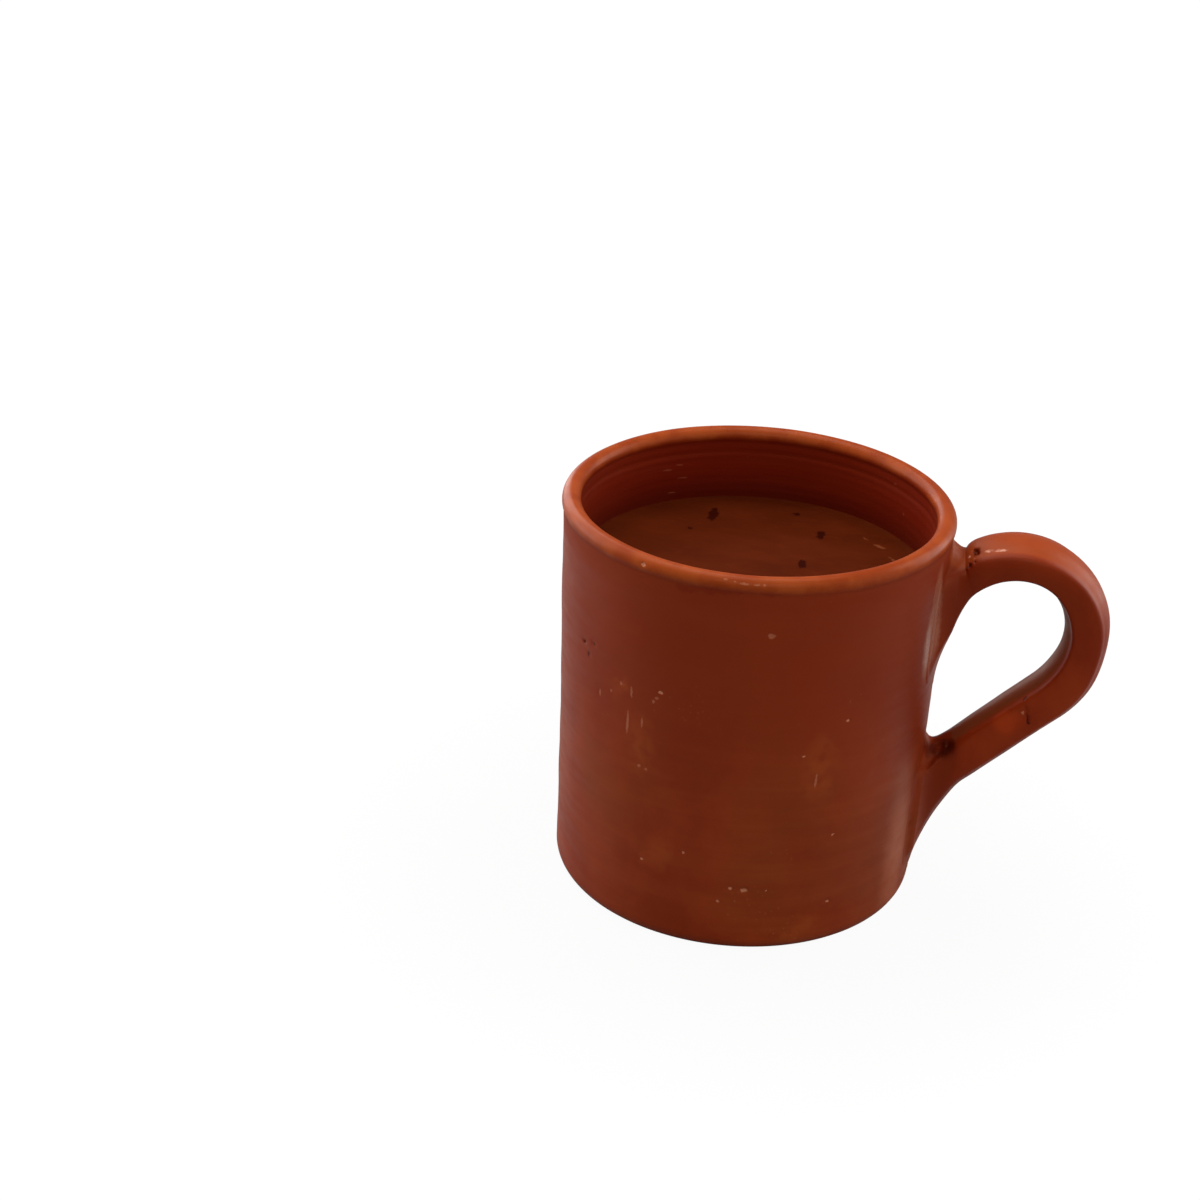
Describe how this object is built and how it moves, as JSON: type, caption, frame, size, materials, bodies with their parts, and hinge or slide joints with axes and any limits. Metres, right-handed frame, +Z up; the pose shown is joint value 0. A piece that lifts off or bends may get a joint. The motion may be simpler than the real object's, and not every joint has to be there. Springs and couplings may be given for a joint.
{
  "type": "clay cup",
  "caption": "Straight-sided terracotta cup with a rolled rim, a rounded foot and a pulled strap handle luted to its wall.",
  "frame": {"origin": "centre of the flat base, on the surface that the cup stands on", "axes": "+Z up through the middle of the cup, +X from the middle of the cup towards its handle"},
  "size_m": [0.1157, 0.082, 0.0867],
  "materials": {
    "body_clay": "red slipped terracotta, burnished to a satin",
    "handle_clay": "red slipped terracotta, wiped smooth, satin",
    "luting_clay": "red slipped terracotta, finger smoothed, satin"
  },
  "bodies": {
    "root": {"cup_body": "body_clay", "handle": "handle_clay", "upper_luting": "luting_clay", "lower_luting": "luting_clay"}
  },
  "joints": []
}
